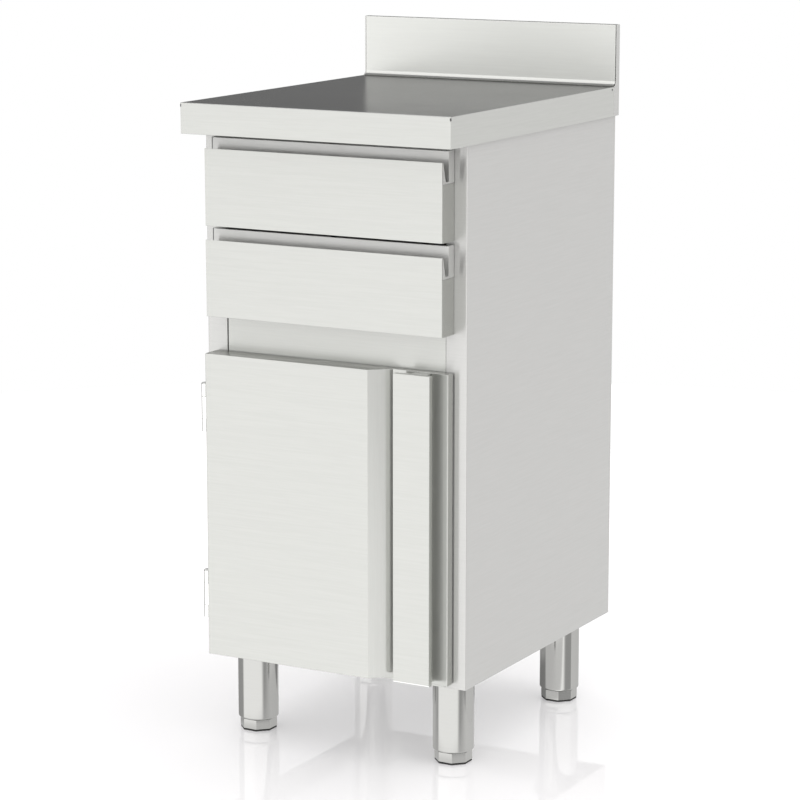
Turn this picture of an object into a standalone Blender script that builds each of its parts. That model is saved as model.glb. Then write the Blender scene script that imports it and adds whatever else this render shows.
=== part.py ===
"""Stainless steel back-bar counter for a coffee machine.

A narrow free-standing cabinet: folded worktop with an upstand at the back,
two drawers on telescopic slides, a cupboard with one hinged door behind them,
and four round legs with screw-adjusted octagonal feet.

Frame: millimetres below are turned into metres, +Z is up, -Y is the front,
the origin is on the floor in the middle of the footprint.
"""
import math

import bmesh
import bpy
from mathutils import Matrix, Vector

MM = 0.001
EPS = 1e-6

# ---------------------------------------------------------------- dimensions
GAP = 0.3                 # clearance between neighbouring sheets
SHEET = 1.2               # cabinet sheet
SHEET_TOP = 1.5           # worktop sheet
BEND = 1.5                # outside radius of a fold

TOP_W = 480.0             # worktop width
TOP_D = 600.0             # worktop depth
TOP_Z = 1045.0            # worktop height
APRON_H = 49.0            # front and side apron
HEM_FRONT = 12.0
HEM_SIDE = 2.6
SPLASH_H = 102.0          # upstand above the worktop
SPLASH_T = 11.5
COVE_R = 9.0
CAP_GAP = 1.1             # joint between the upstand and its end caps

BODY_X = 235.1            # outer face of a side panel
BODY_FRONT = -235.0       # face of the posts and rails
BODY_REAR = 298.1
BODY_Z = 138.0            # lower edge of the cabinet
POST_IN = 198.5           # inner edge of a post
FLOOR_Z = 164.8           # cupboard floor

FRONT_Y = -274.7          # common plane of the drawer fronts and the door
REAR_Y = -235.6           # back of the drawer fronts

DRAWER_X = 212.3          # half width of a drawer front
DRAWER_BOTTOM = {"upper": 849.1, "lower": 703.9}
DRAWER_FRONT_H = 122.9    # bottom edge to the top of the pull lip
PULL_SEAM = 88.9          # bottom edge to the joint below the pull profile
PULL_FLOOR = 92.5         # bottom edge to the floor of the finger channel
PULL_TOP = 139.4          # bottom edge to the top of the pull's back plate
LIP_T = 3.2
DRAWER_HEM = 12.0         # depth of the fold under a drawer front
CHANNEL_Y = (-263.6, -253.0)
TRAY_X = 184.0
TRAY_REAR = 246.0
TRAY_Z = {"upper": (862.0, 965.0), "lower": (720.0, 823.0)}
SLIDE_Z = {"upper": 902.0, "lower": 760.0}
SLIDE_H = 35.0
SLIDE_LEN = 460.0

DOOR_X = (-216.5, 212.3)
DOOR_Z = (146.0, 643.5)
DOOR_REAR = -238.2
BEVEL_X = 81.2            # where the flat door front turns into the recess
BEVEL_SLOPE = 0.845       # depth gained per width on the sloped side of the recess
RECESS_Y = -248.0         # bottom of the recess behind the handle
RIM_Y = -253.8            # front of the flange on the opening edge
HANDLE_X = (126.3, 190.9)
HANDLE_T = 9.9
HANDLE_WEB = (152.0, 180.0)
HANDLE_Z = (147.2, 642.2)

HINGE_X, HINGE_Y = -226.25, -260.0
HINGE_Z = {"upper": 552.3, "lower": 243.0}
HINGE_R = 6.2
HINGE_HALF = 38.9
KNUCKLE_HALF = 18.2
PIN_R = 4.3

SHELF_Z = 415.0
LEG_X, LEG_FRONT, LEG_REAR = 182.85, -176.2, 213.0
LEG_R = 33.4
LEG_Z = 20.0
FOOT_FLAT = 28.35         # half the distance across the flats of a foot
SOLE_T = 2.0

# ---------------------------------------------------------------- scene reset
for old in list(bpy.data.objects):
    bpy.data.objects.remove(old, do_unlink=True)

PARTS = bpy.data.collections.new("coffee_machine_counter")
CUTTERS = bpy.data.collections.new("cutters")
bpy.context.scene.collection.children.link(PARTS)
bpy.context.scene.collection.children.link(CUTTERS)

FINISHES = {
    # name: (colour, roughness, metallic)
    "front": ((0.80, 0.80, 0.78), 0.30, 1.0),
    "side": ((0.74, 0.74, 0.72), 0.32, 1.0),
    "top": ((0.62, 0.62, 0.61), 0.18, 1.0),
    "inner": ((0.66, 0.66, 0.65), 0.36, 1.0),
    "leg": ((0.72, 0.72, 0.71), 0.14, 1.0),
    "slide": ((0.55, 0.56, 0.57), 0.40, 1.0),
    "pin": ((0.68, 0.68, 0.68), 0.22, 1.0),
    "rubber": ((0.05, 0.05, 0.05), 0.75, 0.0),
    "plastic": ((0.12, 0.12, 0.12), 0.55, 0.0),
}


def material(name, finish):
    colour, rough, metal = FINISHES[finish]
    mat = bpy.data.materials.new(name + "_" + finish)
    mat.use_nodes = True
    shader = mat.node_tree.nodes["Principled BSDF"]
    shader.inputs["Base Color"].default_value = (*colour, 1.0)
    shader.inputs["Roughness"].default_value = rough
    shader.inputs["Metallic"].default_value = metal
    mat.diffuse_color = (*colour, 1.0)
    return mat


# ---------------------------------------------------------------- bodies
def pivot(name, x, y, z):
    empty = bpy.data.objects.new(name, None)
    empty.empty_display_size = 0.05
    empty.location = (x * MM, y * MM, z * MM)
    PARTS.objects.link(empty)
    return empty


CABINET = pivot("cabinet_frame", 0, 0, 0)
DRAWER = {k: pivot(k + "_drawer_slide", 0, FRONT_Y, SLIDE_Z[k]) for k in ("upper", "lower")}
DOOR = pivot("door_axis", HINGE_X, HINGE_Y, sum(DOOR_Z) / 2)


def emit(name, bm, finish, body=CABINET, collection=PARTS):
    """Turn a bmesh drawn in the object's frame into a named part on its body."""
    bmesh.ops.translate(bm, verts=bm.verts, vec=-body.location)
    mesh = bpy.data.meshes.new(name)
    bm.to_mesh(mesh)
    bm.free()
    mesh.materials.append(material(name, finish))
    obj = bpy.data.objects.new(name, mesh)
    collection.objects.link(obj)
    obj.parent = body
    return obj


def thicken(obj, sheet=SHEET):
    """Give a folded surface its sheet thickness on the inside."""
    mod = obj.modifiers.new("sheet", "SOLIDIFY")
    mod.thickness = sheet * MM
    mod.offset = -1.0
    mod.use_even_offset = True
    mod.use_quality_normals = True
    mod.use_rim = True
    return obj


# ---------------------------------------------------------------- drawing
AXES = {"X": (1, 0, 0), "Y": (0, 1, 0), "Z": (0, 0, 1)}


def place(point, t, axis):
    u, v = point
    return Vector({"X": (t, u, v), "Y": (u, t, v), "Z": (u, v, t)}[axis]) * MM


def pull(bm, edges, offset):
    """Extrude edges and move the new ones by an offset in mm."""
    out = bmesh.ops.extrude_edge_only(bm, edges=edges)
    new = [g for g in out["geom"] if isinstance(g, bmesh.types.BMVert)]
    bmesh.ops.translate(bm, verts=new, vec=Vector(offset) * MM)
    return new


def strip(points, lo, hi, axis, bm=None):
    """A folded line swept straight along an axis: an open sheet."""
    bm = bm or bmesh.new()
    verts = [bm.verts.new(place(p, lo, axis)) for p in points]
    edges = [bm.edges.new(pair) for pair in zip(verts, verts[1:])]
    pull(bm, edges, Vector(AXES[axis]) * (hi - lo))
    return bm


def prism(points, lo, hi, axis):
    """A closed outline swept straight along an axis: a solid bar."""
    bm = bmesh.new()
    face = bm.faces.new([bm.verts.new(place(p, lo, axis)) for p in points])
    out = bmesh.ops.extrude_face_region(bm, geom=[face])
    new = [g for g in out["geom"] if isinstance(g, bmesh.types.BMVert)]
    bmesh.ops.translate(bm, verts=new, vec=Vector(AXES[axis]) * (hi - lo) * MM)
    bmesh.ops.recalc_face_normals(bm, faces=bm.faces)
    return bm


def block(x, y, z):
    """A cube primitive stretched to three spans in mm."""
    bm = bmesh.new()
    bmesh.ops.create_cube(bm, size=1.0)
    spans = (x, y, z)
    bmesh.ops.scale(bm, verts=bm.verts, vec=[(b - a) * MM for a, b in spans])
    bmesh.ops.translate(bm, verts=bm.verts, vec=[(a + b) / 2 * MM for a, b in spans])
    return bm


def orient(bm, direction):
    """Point the sheet's outside along a direction."""
    d = Vector(direction)
    bmesh.ops.recalc_face_normals(bm, faces=bm.faces)
    ref = max(bm.faces, key=lambda f: abs(f.normal.dot(d)) * f.calc_area())
    if ref.normal.dot(d) < 0:
        bmesh.ops.reverse_faces(bm, faces=bm.faces)
    return bm


def drop_face(bm, direction, keep_depth=None):
    """Remove the outermost face that looks along a direction."""
    d = Vector(direction)
    faces = [f for f in bm.faces if f.normal.dot(d) > 0.99]
    face = max(faces, key=lambda f: f.calc_center_median().dot(d))
    bmesh.ops.delete(bm, geom=[face], context="FACES_ONLY")
    return bm


def round_folds(bm, test, radius=BEND, segments=1):
    """Round the folds whose two ends pass a test."""
    edges = [e for e in bm.edges if len(e.link_faces) == 2
             and e.calc_face_angle(0.0) > 0.4 and all(test(v.co / MM) for v in e.verts)]
    bmesh.ops.bevel(bm, geom=edges, offset=radius * MM, segments=segments,
                    profile=0.5, affect="EDGES", clamp_overlap=True)
    return bm


def near(a, b):
    return abs(a - b) < 0.01


def turned(name, profile, x, y, finish, body, steps, closed=False, z=0.0, spin=0.0):
    """A profile of (radius, height) turned about a vertical axis."""
    bm = bmesh.new()
    verts = [bm.verts.new((r * MM, 0.0, h * MM)) for r, h in profile]
    for pair in zip(verts, verts[1:]):
        bm.edges.new(pair)
    if closed:
        bm.edges.new((verts[-1], verts[0]))
    mesh = bpy.data.meshes.new(name)
    bm.to_mesh(mesh)
    bm.free()
    mesh.materials.append(material(name, finish))
    obj = bpy.data.objects.new(name, mesh)
    PARTS.objects.link(obj)
    obj.parent = body
    obj.location = Vector((x, y, z)) * MM - body.location
    obj.rotation_euler = (0.0, 0.0, spin)
    mod = obj.modifiers.new("turn", "SCREW")
    mod.axis = "Z"
    mod.angle = math.tau
    mod.steps = steps
    mod.render_steps = steps
    mod.use_merge_vertices = True
    mod.merge_threshold = 0.00001
    mod.use_smooth_shade = steps > 8
    return obj


def arc(cx, cy, r, start, end, count):
    step = (end - start) / count
    return [(cx + r * math.cos(math.radians(start + i * step)),
             cy + r * math.sin(math.radians(start + i * step))) for i in range(count + 1)]


# ---------------------------------------------------------------- worktop
HALF_W, TOP_FRONT, TOP_REAR = TOP_W / 2, -TOP_D / 2, TOP_D / 2
APRON_Z, SPLASH_Z = TOP_Z - APRON_H, TOP_Z + SPLASH_H
SPLASH_Y = TOP_REAR - SPLASH_T
COVE_Y = SPLASH_Y - COVE_R
REAR_HALF_W = HALF_W - SHEET_TOP - CAP_GAP


def cove(count):
    return arc(COVE_Y, TOP_Z + COVE_R, COVE_R, -90, 0, count)


def worktop():
    bm = strip([(TOP_FRONT, APRON_Z), (TOP_FRONT, TOP_Z), (COVE_Y, TOP_Z)], -HALF_W, HALF_W, "X")
    sides = [e for e in bm.edges if all(near(v.co.z / MM, TOP_Z) for v in e.verts)
             and e.verts[0].co.x * e.verts[1].co.x > 0]
    pull(bm, sides, (0, 0, -APRON_H))
    bmesh.ops.remove_doubles(bm, verts=bm.verts, dist=0.00001)
    lower = [e for e in bm.edges if all(near(v.co.z / MM, APRON_Z) for v in e.verts)]
    for v in pull(bm, lower, (0, 0, 0)):
        if v.co.y < (TOP_FRONT + 1) * MM:
            v.co.y += HEM_FRONT * MM
        v.co.x -= math.copysign(HEM_SIDE * MM, v.co.x)
    round_folds(bm, lambda c: (near(c.z, TOP_Z) or near(c.z, APRON_Z))
                and (near(c.y, TOP_FRONT) or near(abs(c.x), HALF_W)) and c.z > APRON_Z - 1
                and not (near(c.z, APRON_Z) and c.y > TOP_FRONT + 1), radius=1.2)
    # the sheet runs on into the cove and the upstand, narrower by the end caps
    edge = next(e for e in bm.edges if all(near(v.co.y / MM, COVE_Y) and near(v.co.z / MM, TOP_Z)
                                           for v in e.verts))
    left, right = sorted(edge.verts, key=lambda v: v.co.x)
    span = (right.co.x - left.co.x) / MM
    inset = right.co.x / MM - REAR_HALF_W
    edge, first = bmesh.utils.edge_split(edge, left, inset / span)
    edge = next(e for e in first.link_edges if right in e.verts)
    bmesh.utils.edge_split(edge, right, inset / (span - inset))
    strip(cove(4) + [(SPLASH_Y, SPLASH_Z), (TOP_REAR, SPLASH_Z), (TOP_REAR, APRON_Z)],
          -REAR_HALF_W, REAR_HALF_W, "X", bm)
    bmesh.ops.remove_doubles(bm, verts=bm.verts, dist=0.00001)
    orient(bm, (0, 0, 1))
    return thicken(emit("worktop", bm, "top"), SHEET_TOP)


worktop()

CAP_FRONT = COVE_Y + 0.7
cap_line = [(CAP_FRONT, APRON_Z), (TOP_REAR, APRON_Z), (TOP_REAR, SPLASH_Z)]
cap_line += [(SPLASH_Y, SPLASH_Z)] + list(reversed(cove(4)))[:-1] + [(CAP_FRONT, TOP_Z + 0.01)]
for side, sign in (("left", -1), ("right", 1)):
    ends = sorted((sign * (REAR_HALF_W + CAP_GAP), sign * HALF_W))
    emit("splash_end_cap_" + side, prism(cap_line, ends[0], ends[1], "X"), "side")

UNDER_TOP = TOP_Z - SHEET_TOP - GAP
for place_name, y in (("front", -70.0), ("rear", 130.0)):
    hat = [(-36, 0), (-20, 0), (-20, -28), (20, -28), (20, 0), (36, 0)]
    bm = strip([(y + u, UNDER_TOP + v) for u, v in hat], -196.0, 196.0, "X")
    # outside is the lower face of the hat's crown
    orient(bm, (0, 0, -1))
    bmesh.ops.reverse_faces(bm, faces=bm.faces)
    thicken(emit("worktop_stiffener_" + place_name, bm, "inner"))

# ---------------------------------------------------------------- carcass
for side, sign in (("left", -1), ("right", 1)):
    plan = [(POST_IN, BODY_FRONT + 14), (POST_IN, BODY_FRONT), (BODY_X, BODY_FRONT),
            (BODY_X, BODY_REAR), (BODY_X - 26, BODY_REAR)]
    bm = strip([(sign * x, y) for x, y in plan], BODY_Z, UNDER_TOP, "Z")
    round_folds(bm, lambda c: near(abs(c.x), BODY_X))
    thicken(emit("side_panel_" + side, orient(bm, (sign, 0, 0)), "side"))

INNER_X = BODY_X - SHEET - 0.4
BACK_Y = BODY_REAR - SHEET - GAP
emit("back_panel", block((-INNER_X + BEND, INNER_X - BEND), (BACK_Y - SHEET, BACK_Y), (140.0, UNDER_TOP)), "inner")
TUB_REAR = BACK_Y - SHEET - GAP

rail_x = POST_IN - GAP
bm = strip([(BODY_FRONT + 20, 975.0), (BODY_FRONT, 975.0), (BODY_FRONT, 1042.0), (BODY_FRONT + 20, 1042.0)],
           -rail_x, rail_x, "X")
thicken(emit("top_rail_front", orient(bm, (0, -1, 0)), "front"))

bm = strip([(TUB_REAR - 22, 1042.0), (TUB_REAR, 1042.0), (TUB_REAR, 996.0)], -INNER_X, INNER_X, "X")
thicken(emit("top_rail_rear", orient(bm, (0, 1, 0)), "inner"))

MID_TOP = 714.0
bm = strip([(BODY_FRONT + 24, 630.0), (BODY_FRONT, 630.0), (BODY_FRONT, MID_TOP), (BODY_FRONT + 24, MID_TOP)],
           -POST_IN + 2.2, rail_x, "X")
thicken(emit("mid_rail", orient(bm, (0, -1, 0)), "front"))

BAY_X = POST_IN - 0.5
emit("divider_panel", block((-BAY_X + SHEET + GAP, BAY_X - SHEET - GAP), (BODY_FRONT + 2.5, TUB_REAR),
                            (MID_TOP + GAP, MID_TOP + GAP + SHEET)), "inner")
for side, sign in (("left", -1), ("right", 1)):
    ends = sorted((sign * (BAY_X - SHEET), sign * BAY_X))
    emit("drawer_bay_side_" + side, block(ends, (BODY_FRONT + 2.5, 290.0), (716.5, 970.0)), "inner")

notch_y = BODY_FRONT + 14.8
floor_line = [(-rail_x, BODY_FRONT), (rail_x, BODY_FRONT), (rail_x, notch_y), (INNER_X, notch_y),
              (INNER_X, TUB_REAR), (-INNER_X, TUB_REAR), (-INNER_X, notch_y), (-rail_x, notch_y)]
bm = drop_face(prism(floor_line, BODY_Z, FLOOR_Z, "Z"), (0, 0, -1))
thicken(emit("bottom_panel", bm, "front"))

bm = drop_face(block((-228.0, 228.0), (-214.0, 290.0), (SHELF_Z - 19.7, SHELF_Z)), (0, 0, -1))
thicken(emit("shelf", bm, "inner"))
for side, sign in (("left", -1), ("right", 1)):
    foot_z = SHELF_Z - 20.0 - SHEET
    line = [(INNER_X, foot_z + 32.0), (INNER_X, foot_z), (208.0, foot_z)]
    bm = strip([(sign * u, v) for u, v in line], -210.0, 285.0, "Y")
    thicken(emit("shelf_support_" + side, orient(bm, (sign, 0, 0)), "inner"))

emit("magnet_catch", block((140.0, 180.0), (DOOR_REAR + 1.8, BODY_FRONT + 20.0), (618.0, 629.7)), "plastic")

# ---------------------------------------------------------------- drawers
for level in ("upper", "lower"):
    body = DRAWER[level]
    z0 = DRAWER_BOTTOM[level]
    lip_z, seam_z, channel_z, pull_z = (z0 + DRAWER_FRONT_H, z0 + PULL_SEAM, z0 + PULL_FLOOR, z0 + PULL_TOP)

    # front sheet folded back at both ends, with a short fold along the bottom
    bm = strip([(FRONT_Y, z0), (FRONT_Y, seam_z), (FRONT_Y, lip_z)], -DRAWER_X, DRAWER_X, "X")
    back = [e for e in bm.edges if all(v.co.z < (seam_z + 1) * MM for v in e.verts)
            and (near(e.verts[0].co.x, e.verts[1].co.x)
                 and abs(e.verts[0].co.z - e.verts[1].co.z) > 0.01
                 or all(near(v.co.z / MM, z0) for v in e.verts))]
    hem = pull(bm, back, (0, DRAWER_HEM, 0))
    ends = [e for e in bm.edges if all(v in hem for v in e.verts) and near(e.verts[0].co.x, e.verts[1].co.x)]
    pull(bm, ends, (0, REAR_Y - FRONT_Y - DRAWER_HEM, 0))
    round_folds(bm, lambda c: near(c.y, FRONT_Y) and c.z < seam_z + 1, radius=1.0)
    thicken(emit("drawer_front_" + level, orient(bm, (0, -1, 0)), "front", body))

    # pull profile: sloped lip, finger channel and hollow back plate
    face_y = FRONT_Y + SHEET + GAP
    base_z = seam_z + 0.4
    line = [(face_y, base_z), (face_y, lip_z - 0.1), (FRONT_Y + LIP_T, lip_z - 0.1),
            (CHANNEL_Y[0], channel_z), (CHANNEL_Y[1], channel_z), (CHANNEL_Y[1], pull_z),
            (REAR_Y - GAP, pull_z), (REAR_Y - GAP, base_z)]
    grip = emit("drawer_pull_" + level, prism(line, -DRAWER_X, DRAWER_X, "X"), "side", body)
    hollow = emit("pull_hollow_" + level, block((-DRAWER_X + SHEET, DRAWER_X - SHEET),
                                               (CHANNEL_Y[1] + SHEET, REAR_Y - GAP - SHEET),
                                               (seam_z - 10.0, pull_z - SHEET)), "inner", body, CUTTERS)
    hollow.hide_render = True
    hollow.display_type = "WIRE"
    cut = grip.modifiers.new("hollow", "BOOLEAN")
    cut.operation = "DIFFERENCE"
    cut.object = hollow

    low, high = TRAY_Z[level]
    bm = drop_face(block((-TRAY_X, TRAY_X), (REAR_Y + GAP, TRAY_REAR), (low, high)), (0, 0, 1))
    thicken(emit("drawer_tray_" + level, bm, "inner", body))

    zc, half = SLIDE_Z[level], SLIDE_H / 2
    for side, sign in (("left", -1), ("right", 1)):
        web = BAY_X - SHEET - GAP
        line = [(TRAY_X + 0.9, zc + half), (web, zc + half), (web, zc - half), (TRAY_X + 0.9, zc - half)]
        bm = strip([(sign * u, v) for u, v in line], BODY_FRONT + 6.5, BODY_FRONT + 6.5 + SLIDE_LEN, "Y")
        thicken(emit("slide_outer_%s_%s" % (level, side), orient(bm, (sign, 0, 0)), "slide"))
        run = half - SHEET - GAP
        line = [(web - 2.0, zc + run), (TRAY_X + GAP, zc + run), (TRAY_X + GAP, zc - run), (web - 2.0, zc - run)]
        bm = strip([(sign * u, v) for u, v in line], BODY_FRONT + 4.5, BODY_FRONT + SLIDE_LEN, "Y")
        thicken(emit("slide_inner_%s_%s" % (level, side), orient(bm, (-sign, 0, 0)), "slide", body))

# knock-out bar across the upper drawer, with a rubber sleeve
BAR_Y, BAR_Z, BAR_R = -70.0, 928.0, 8.0
bar_half = TRAY_X - SHEET - GAP
bar = turned("knock_bar", [(0, bar_half), (BAR_R, bar_half), (BAR_R, -bar_half), (0, -bar_half)],
             0, BAR_Y, "pin", DRAWER["upper"], 16, z=BAR_Z)
sleeve = turned("knock_bar_sleeve", [(BAR_R + GAP, 150.0), (17.0, 150.0), (17.0, -150.0), (BAR_R + GAP, -150.0)],
                0, BAR_Y, "rubber", DRAWER["upper"], 16, closed=True, z=BAR_Z)
for obj in (bar, sleeve):
    obj.rotation_euler = (0.0, math.pi / 2, 0.0)

# ---------------------------------------------------------------- door
bevel_end = (BEVEL_X + (RECESS_Y - FRONT_Y) / BEVEL_SLOPE, RECESS_Y)
trough = (HANDLE_WEB[1], RECESS_Y)
span, rise = DOOR_X[1] - trough[0], RIM_Y - RECESS_Y
mid = (trough[0] + span * 0.4, RECESS_Y + rise * 0.3)
rim = []
for i in range(5):        # quadratic sweep from the recess floor up to the flange
    t = i / 4
    rim.append(tuple((1 - t) ** 2 * trough[k] + 2 * t * (1 - t) * mid[k] + t * t * (DOOR_X[1], RIM_Y)[k]
                     for k in (0, 1)))
door_line = [(DOOR_X[0], DOOR_REAR), (DOOR_X[0], FRONT_Y), (BEVEL_X, FRONT_Y), bevel_end]
door_line += rim + [(DOOR_X[1], DOOR_REAR)]
bm = drop_face(prism(door_line, DOOR_Z[0], DOOR_Z[1], "Z"), (0, 1, 0))
thicken(emit("door_shell", bm, "front", DOOR))

inset = SHEET + 0.4
emit("door_liner", block((DOOR_X[0] + inset, DOOR_X[1] - inset), (DOOR_REAR - 0.8 - SHEET, DOOR_REAR - 0.8),
                         (DOOR_Z[0] + inset, DOOR_Z[1] - inset)), "inner", DOOR)

strip_y = FRONT_Y + HANDLE_T
tee = [(HANDLE_X[0], FRONT_Y), (HANDLE_X[1], FRONT_Y), (HANDLE_X[1], strip_y), (HANDLE_WEB[1], strip_y),
       (HANDLE_WEB[1], RECESS_Y - 0.5), (HANDLE_WEB[0], RECESS_Y - 0.5), (HANDLE_WEB[0], strip_y),
       (HANDLE_X[0], strip_y)]
bm = drop_face(prism(tee, HANDLE_Z[0], HANDLE_Z[1], "Z"), (0, 0, -1))
thicken(emit("door_handle", bm, "front", DOOR))

emit("catch_strike", block((143.0, 177.0), (DOOR_REAR - 0.5, DOOR_REAR + 1.3), (618.5, 629.2)), "pin", DOOR)

# ---------------------------------------------------------------- hinges
LEAF = 1.5
for level in ("upper", "lower"):
    zc = HINGE_Z[level]
    cuts = (zc - HINGE_HALF, zc - KNUCKLE_HALF - GAP, zc + KNUCKLE_HALF + GAP, zc + HINGE_HALF)
    left_x = HINGE_X - HINGE_R
    web_stop = HINGE_Y + 8.5

    # fixed leaf: screwed to the post, rolled round the pin above and below the middle knuckle
    plan = [(-219.6, BODY_FRONT - GAP), (left_x, BODY_FRONT - GAP), (left_x, web_stop)]
    plan += arc(HINGE_X, HINGE_Y, HINGE_R, 180, 470, 12)
    bm = strip(plan, cuts[0], cuts[1], "Z")
    for lo, hi in zip(cuts[1:], cuts[2:]):
        strip(plan, lo, hi, "Z", bm)
    bmesh.ops.remove_doubles(bm, verts=bm.verts, dist=0.00001)
    middle = [f for f in bm.faces if cuts[1] < f.calc_center_median().z / MM < cuts[2]
              and f.calc_center_median().y / MM < web_stop]
    bmesh.ops.delete(bm, geom=middle, context="FACES")
    thicken(emit("hinge_leaf_frame_" + level, orient(bm, (-1, 0, 0)), "pin"), LEAF)

    # moving leaf: on the door's edge, rolled round the pin in the middle
    plan = [(DOOR_X[0] - GAP, HINGE_Y + 18), (DOOR_X[0] - GAP, HINGE_Y - HINGE_R)]
    plan += arc(HINGE_X, HINGE_Y, HINGE_R, 270, -20, 12)
    bm = strip(plan, zc - KNUCKLE_HALF, zc + KNUCKLE_HALF, "Z")
    thicken(emit("hinge_leaf_door_" + level, orient(bm, (1, 0, 0)), "pin", DOOR), LEAF)

    turned("hinge_pin_" + level,
           [(0, HINGE_HALF + 2.0), (5.6, HINGE_HALF + 2.0), (5.6, HINGE_HALF + GAP), (PIN_R, HINGE_HALF + GAP),
            (PIN_R, -HINGE_HALF - 0.5), (0, -HINGE_HALF - 0.5)],
           HINGE_X, HINGE_Y, "pin", CABINET, 16, z=zc)

# ---------------------------------------------------------------- legs
leg_profile = [(0, FLOOR_Z - SHEET - GAP), (42, FLOOR_Z - SHEET - GAP), (42, 160.3), (LEG_R, 160.3),
               (LEG_R, LEG_Z + 4.5), (LEG_R - 0.9, LEG_Z + 1.6), (LEG_R - 3.3, LEG_Z),
               (LEG_R - 3.8, LEG_Z + 1.2), (LEG_R - 1.9, LEG_Z + 3.6), (LEG_R - 1.2, LEG_Z + 6.0),
               (LEG_R - 1.2, 60.0), (9.0, 60.0), (9.0, 66.0), (LEG_R - 1.2, 66.0), (LEG_R - 1.2, 158.8), (0, 158.8)]
corner = 1.0 / math.cos(math.pi / 8)
foot_top = LEG_Z - GAP
foot_profile = [(0, 104.0), (8.0, 104.0), (8.0, 33.0), (27.4, 33.0), (27.4, foot_top),
                ((FOOT_FLAT - 0.7) * corner, foot_top), (FOOT_FLAT * corner, foot_top - 0.7),
                (FOOT_FLAT * corner, SOLE_T + GAP + 0.9), ((FOOT_FLAT - 0.9) * corner, SOLE_T + GAP),
                (0, SOLE_T + GAP)]
for row, y in (("front", LEG_FRONT), ("rear", LEG_REAR)):
    for side, x in (("left", -LEG_X), ("right", LEG_X)):
        where = row + "_" + side
        turned("leg_tube_" + where, leg_profile, x, y, "leg", CABINET, 24)
        screw = pivot("foot_screw_" + where, x, y, foot_top)
        turned("leg_foot_" + where, foot_profile, x, y, "leg", screw, 8, spin=math.pi / 8)
        bm = bmesh.new()
        bmesh.ops.create_cone(bm, cap_ends=True, segments=8, radius1=(FOOT_FLAT - 0.6) * corner * MM,
                              radius2=(FOOT_FLAT - 0.4) * corner * MM, depth=SOLE_T * MM)
        bmesh.ops.rotate(bm, verts=bm.verts, cent=(0, 0, 0), matrix=Matrix.Rotation(math.pi / 8, 3, "Z"))
        bmesh.ops.translate(bm, verts=bm.verts, vec=Vector((x, y, SOLE_T / 2)) * MM)
        emit("foot_sole_" + where, bm, "rubber", screw)
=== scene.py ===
"""Looks of a stainless steel back-bar counter: fine sheet-metal meshes, brushed steel and a white studio."""
import math

import bmesh
import bpy
from mathutils import Matrix, Vector


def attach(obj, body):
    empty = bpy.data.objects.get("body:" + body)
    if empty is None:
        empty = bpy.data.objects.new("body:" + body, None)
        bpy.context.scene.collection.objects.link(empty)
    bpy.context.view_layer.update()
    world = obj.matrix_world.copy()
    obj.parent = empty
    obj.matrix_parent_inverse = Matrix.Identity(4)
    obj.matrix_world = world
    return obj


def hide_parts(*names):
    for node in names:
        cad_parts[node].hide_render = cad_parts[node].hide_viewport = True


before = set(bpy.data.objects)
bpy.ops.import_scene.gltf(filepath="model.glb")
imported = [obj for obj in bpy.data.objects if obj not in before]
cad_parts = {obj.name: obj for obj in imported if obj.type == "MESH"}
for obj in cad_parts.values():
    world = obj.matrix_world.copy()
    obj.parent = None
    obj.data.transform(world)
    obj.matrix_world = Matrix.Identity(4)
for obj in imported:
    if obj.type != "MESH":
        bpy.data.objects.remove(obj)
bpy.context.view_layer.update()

MM = 0.001

# ------------------------------------------------------------------ dimensions, in mm
GAP = 0.3
SHEET = 1.2
SHEET_TOP = 1.5
TOP_W, TOP_D, TOP_Z = 480.0, 600.0, 1045.0
APRON_H, HEM_FRONT, HEM_SIDE = 49.0, 12.0, 2.6
SPLASH_H, SPLASH_T, COVE_R, CAP_GAP = 102.0, 11.5, 9.0, 1.1
BODY_X, BODY_FRONT, BODY_REAR, BODY_Z = 235.1, -235.0, 298.1, 138.0
POST_IN, FLOOR_Z = 198.5, 164.8
FRONT_Y, REAR_Y = -274.7, -235.6
DRAWER_X = 212.3
DRAWER_BOTTOM = {"upper": 849.1, "lower": 703.9}
DRAWER_FRONT_H, PULL_SEAM, PULL_FLOOR, PULL_TOP = 122.9, 88.9, 92.5, 139.4
LIP_T, CHANNEL_Y, DRAWER_HEM = 3.2, (-263.6, -253.0), 12.0
TRAY_X, TRAY_REAR = 184.0, 246.0
TRAY_Z = {"upper": (862.0, 965.0), "lower": (720.0, 823.0)}
SLIDE_Z, SLIDE_H, SLIDE_LEN = {"upper": 902.0, "lower": 760.0}, 35.0, 460.0
DOOR_X, DOOR_Z, DOOR_REAR = (-216.5, 212.3), (146.0, 643.5), -238.2
BEVEL_X, BEVEL_SLOPE, RECESS_Y, RIM_Y = 81.2, 0.845, -248.0, -253.8
HANDLE_X, HANDLE_T, HANDLE_WEB, HANDLE_Z = (126.3, 190.9), 9.9, (152.0, 180.0), (147.2, 642.2)
HINGE_X, HINGE_Y = -226.25, -260.0
HINGE_Z = {"upper": 552.3, "lower": 243.0}
HINGE_R, HINGE_HALF, KNUCKLE_HALF, PIN_R = 6.2, 38.9, 18.2, 4.3
SHELF_Z = 415.0
LEG_X, LEG_FRONT, LEG_REAR, LEG_R, LEG_Z = 182.85, -176.2, 213.0, 33.4, 20.0
FOOT_FLAT, SOLE_T = 28.35, 2.0

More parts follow.
